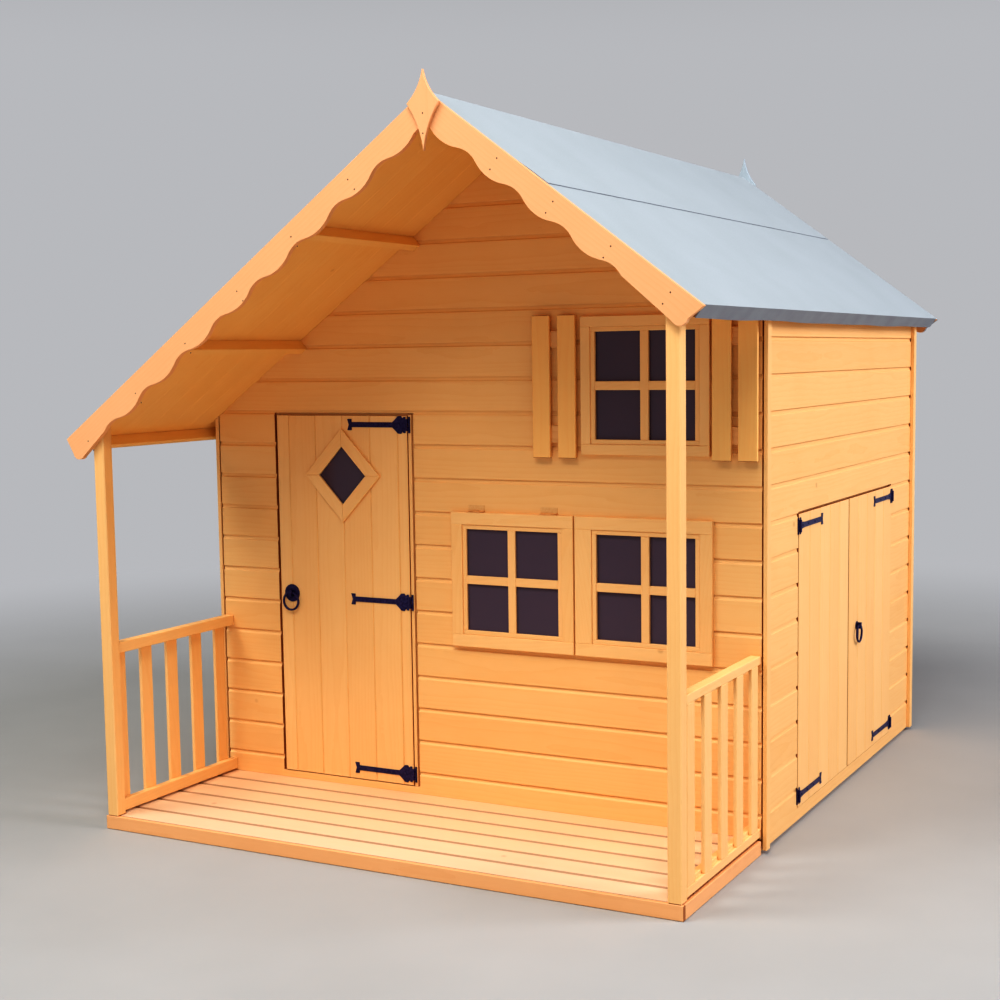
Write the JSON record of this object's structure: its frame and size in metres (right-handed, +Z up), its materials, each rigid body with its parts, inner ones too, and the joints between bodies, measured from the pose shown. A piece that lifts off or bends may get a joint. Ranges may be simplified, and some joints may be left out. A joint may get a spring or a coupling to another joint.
{
  "type": "garden playhouse",
  "caption": "Two storey wooden garden playhouse with a railed veranda, plank front door, opening casement, side store doors and a steep felted roof with scalloped bargeboards.",
  "frame": {"origin": "underside of the middle floor bearer, under the middle of the base (walls and veranda together)", "axes": "+Z up, -Y the front with the veranda and door, +X the side with the store doors"},
  "size_m": [2.1861, 2.679, 2.3485],
  "materials": {
    "cladding": "stained softwood, matt",
    "door_planks": "stained softwood, matt",
    "trim": "stained softwood, matt",
    "deck": "stained softwood, matt",
    "framing": "sawn softwood, stained",
    "mineral_felt": "mineral grit on bitumen",
    "window_glass": "clear sheet",
    "ironwork": "black semi-gloss",
    "brass": "satin"
  },
  "bodies": {
    "house": {"balustrade_left": "trim", "balustrade_right": "trim", "bargeboards_front": "trim", "bargeboards_rear": "trim", "bunk_boards": "framing", "bunk_joists": "framing", "casement_hinge_fixed": "brass", "cladding_front": "cladding", "cladding_left": "cladding", "cladding_rear": "cladding", "cladding_right": "cladding", "corner_strips": "trim", "deck_boards": "deck", "deck_fascias": "trim", "eave_battens": "framing", "finial_front": "trim", "finial_rear": "trim", "floor_bearers": "framing", "frame_front": "framing", "frame_left": "framing", "frame_rear": "framing", "frame_right": "framing", "front_door_jamb": "trim", "front_hinge_plates": "ironwork", "house_floor": "framing", "ladder": "framing", "partition_boards": "framing", "purlins": "framing", "roof_boards_left": "framing", "roof_boards_right": "framing", "roof_felt_left": "mineral_felt", "roof_felt_right": "mineral_felt", "shutter_battens": "trim", "shutter_boards": "trim", "store_hinge_plates": "ironwork", "veranda_posts": "trim", "window_low_frame": "trim", "window_low_glass": "window_glass", "window_up_frame": "trim", "window_up_glass": "window_glass"},
    "front_door": {"front_door_planks": "door_planks", "front_door_ledges": "framing", "front_door_beading": "trim", "front_door_glass": "window_glass", "front_door_straps": "ironwork", "front_latch_rose": "ironwork"},
    "front_latch": {"front_latch_spindle": "ironwork"},
    "front_ring": {"front_ring": "ironwork"},
    "store_door_near": {"store_near_planks": "door_planks", "store_near_ledges": "framing", "store_near_straps": "ironwork"},
    "store_door_far": {"store_far_planks": "door_planks", "store_far_ledges": "framing", "store_far_straps": "ironwork", "store_latch_rose": "ironwork"},
    "store_latch": {"store_latch_spindle": "ironwork"},
    "store_ring": {"store_ring": "ironwork"},
    "casement": {"casement_sash": "trim", "casement_glass": "window_glass", "casement_hinge_moving": "brass"}
  },
  "joints": [
    {"name": "front_door_swing", "type": "hinge", "parent": "house", "child": "front_door", "pos_m": [-0.22646, -0.593, 0.7055], "axis": [0, 0, 1], "range_deg": [0, 100]},
    {"name": "front_latch_turn", "type": "hinge", "parent": "front_door", "child": "front_latch", "pos_m": [-0.71201, -0.586, 0.712], "axis": [0, 1, 0], "range_deg": [0, 90]},
    {"name": "front_ring_swing", "type": "hinge", "parent": "front_latch", "child": "front_ring", "pos_m": [-0.71201, -0.599, 0.712], "axis": [-1, 0, 0], "range_deg": [-5, 150]},
    {"name": "store_near_swing", "type": "hinge", "parent": "house", "child": "store_door_near", "pos_m": [1.023, -0.2387, 0.56], "axis": [0, 0, -1], "range_deg": [0, 110]},
    {"name": "store_far_swing", "type": "hinge", "parent": "house", "child": "store_door_far", "pos_m": [1.023, 0.9253, 0.56], "axis": [0, 0, 1], "range_deg": [0, 110]},
    {"name": "store_latch_turn", "type": "hinge", "parent": "store_door_far", "child": "store_latch", "pos_m": [1.016, 0.4473, 0.55], "axis": [-1, 0, 0], "range_deg": [0, 90]},
    {"name": "store_ring_swing", "type": "hinge", "parent": "store_latch", "child": "store_ring", "pos_m": [1.029, 0.4473, 0.55], "axis": [0, -1, 0], "range_deg": [-5, 150]},
    {"name": "casement_swing", "type": "hinge", "parent": "house", "child": "casement", "pos_m": [0.16591, -0.5893, 1.0263], "axis": [-1, 0, 0], "range_deg": [0, 70]}
  ]
}
